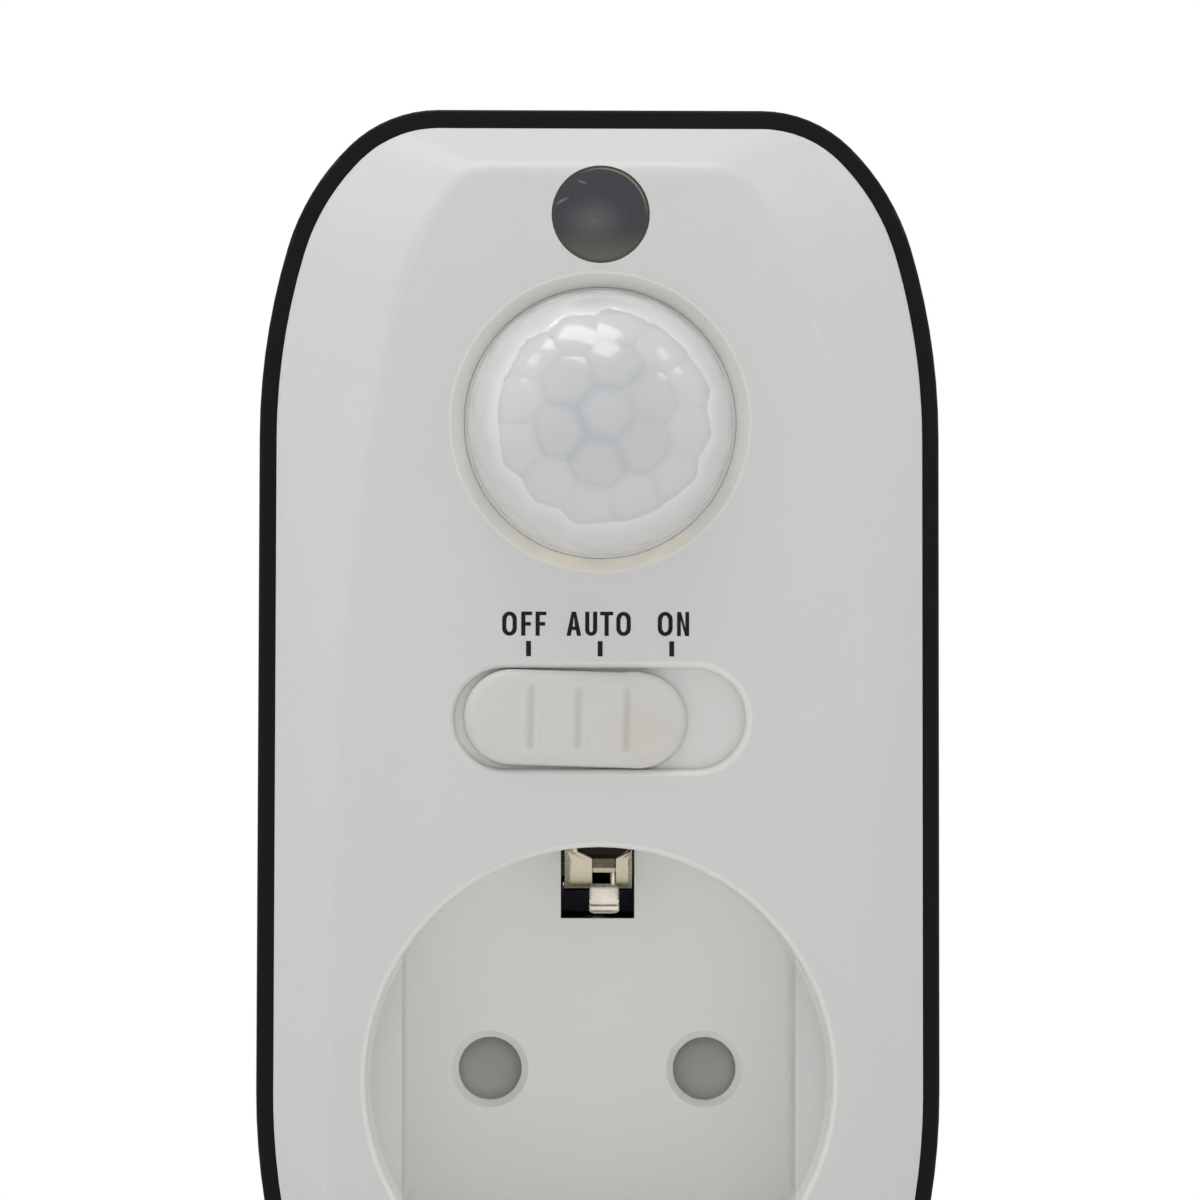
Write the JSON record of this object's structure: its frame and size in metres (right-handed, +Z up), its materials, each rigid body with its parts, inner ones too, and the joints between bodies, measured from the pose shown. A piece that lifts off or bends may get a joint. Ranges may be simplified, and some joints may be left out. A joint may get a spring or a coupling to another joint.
{
  "type": "plug-in motion sensor",
  "caption": "Wall socket adapter with a motion sensor: a plug behind, a socket in front, a domed sensor lens, a dusk window and a three-position slide switch.",
  "frame": {"origin": "midway between the two plug pins, in the end face of the plug boss; the socket shares this axis", "axes": "+Y along the plug pins, towards the wall; -Y is the front; +Z up, along the housing's length; +X to the right seen from the front"},
  "size_m": [0.0594, 0.0782, 0.1144],
  "materials": {
    "cover_white": "satin moulded, light grey white",
    "shell_black": "satin moulded black",
    "lens_milk": "milky translucent, glossy outside",
    "window_smoke": "smoked, polished",
    "knob_white": "satin moulded white",
    "nickel": "nickel plated brass",
    "contact_brass": "bare brass strip",
    "screw_steel": "zinc plated",
    "spring_steel": "bright drawn wire",
    "carrier_grey": "moulded insulating plastic",
    "shutter_grey": "moulded plastic",
    "inner_white": "moulded plastic",
    "inner_black": "moulded plastic",
    "sensor_can": "drawn metal can",
    "sensor_clear": "clear cast resin",
    "board_green": "glass fibre board with green mask",
    "relay_black": "moulded case",
    "capacitor_yellow": "potted plastic case",
    "capacitor_sleeve": "shrink sleeve on an aluminium can",
    "chip_black": "moulded resin",
    "varistor_blue": "dipped resin",
    "resistor_beige": "lacquered ceramic body",
    "wire_brown": "insulated wire",
    "wire_blue": "insulated wire",
    "wire_black": "insulated wire"
  },
  "bodies": {
    "housing": {"front_cover": "cover_white", "rear_cover": "shell_black", "plug_pin_live": "nickel", "plug_pin_neutral": "nickel", "earth_strip_top": "nickel", "earth_strip_bottom": "nickel", "earth_bridge": "nickel", "live_contact": "contact_brass", "neutral_contact": "contact_brass", "contact_carrier": "carrier_grey", "carrier_screws": "screw_steel", "shutter_spring": "spring_steel", "pir_lens": "lens_milk", "lens_retaining_ring": "inner_white", "light_window": "window_smoke", "light_sensor": "sensor_clear", "light_shroud": "inner_black", "pir_sensor": "sensor_can", "sensor_spacer": "inner_white", "switch_frame": "sensor_can", "circuit_board": "board_green", "board_screws": "screw_steel", "case_screws": "screw_steel", "relay": "relay_black", "dropper_capacitor": "capacitor_yellow", "smoothing_capacitor": "capacitor_sleeve", "bridge_rectifier": "chip_black", "control_chip": "chip_black", "varistor": "varistor_blue", "fuse_resistor": "resistor_beige", "resistors": "resistor_beige", "live_wire": "wire_brown", "switched_wire": "wire_black", "neutral_wire": "wire_blue"},
    "switch_slider": {"switch_knob": "knob_white", "switch_lever": "inner_black"},
    "shutter": {"safety_shutter": "shutter_grey"}
  },
  "joints": [
    {"name": "switch_slide", "type": "slide", "parent": "housing", "child": "switch_slider", "axis": [1, 0, 0], "range_m": [0, 0.0042]},
    {"name": "shutter_slide", "type": "slide", "parent": "housing", "child": "shutter", "axis": [0, 0, -1], "range_m": [0, 0.0062], "stiffness_N_per_m": 50, "springref_m": -0.003, "deforming": ["shutter_spring"]}
  ]
}
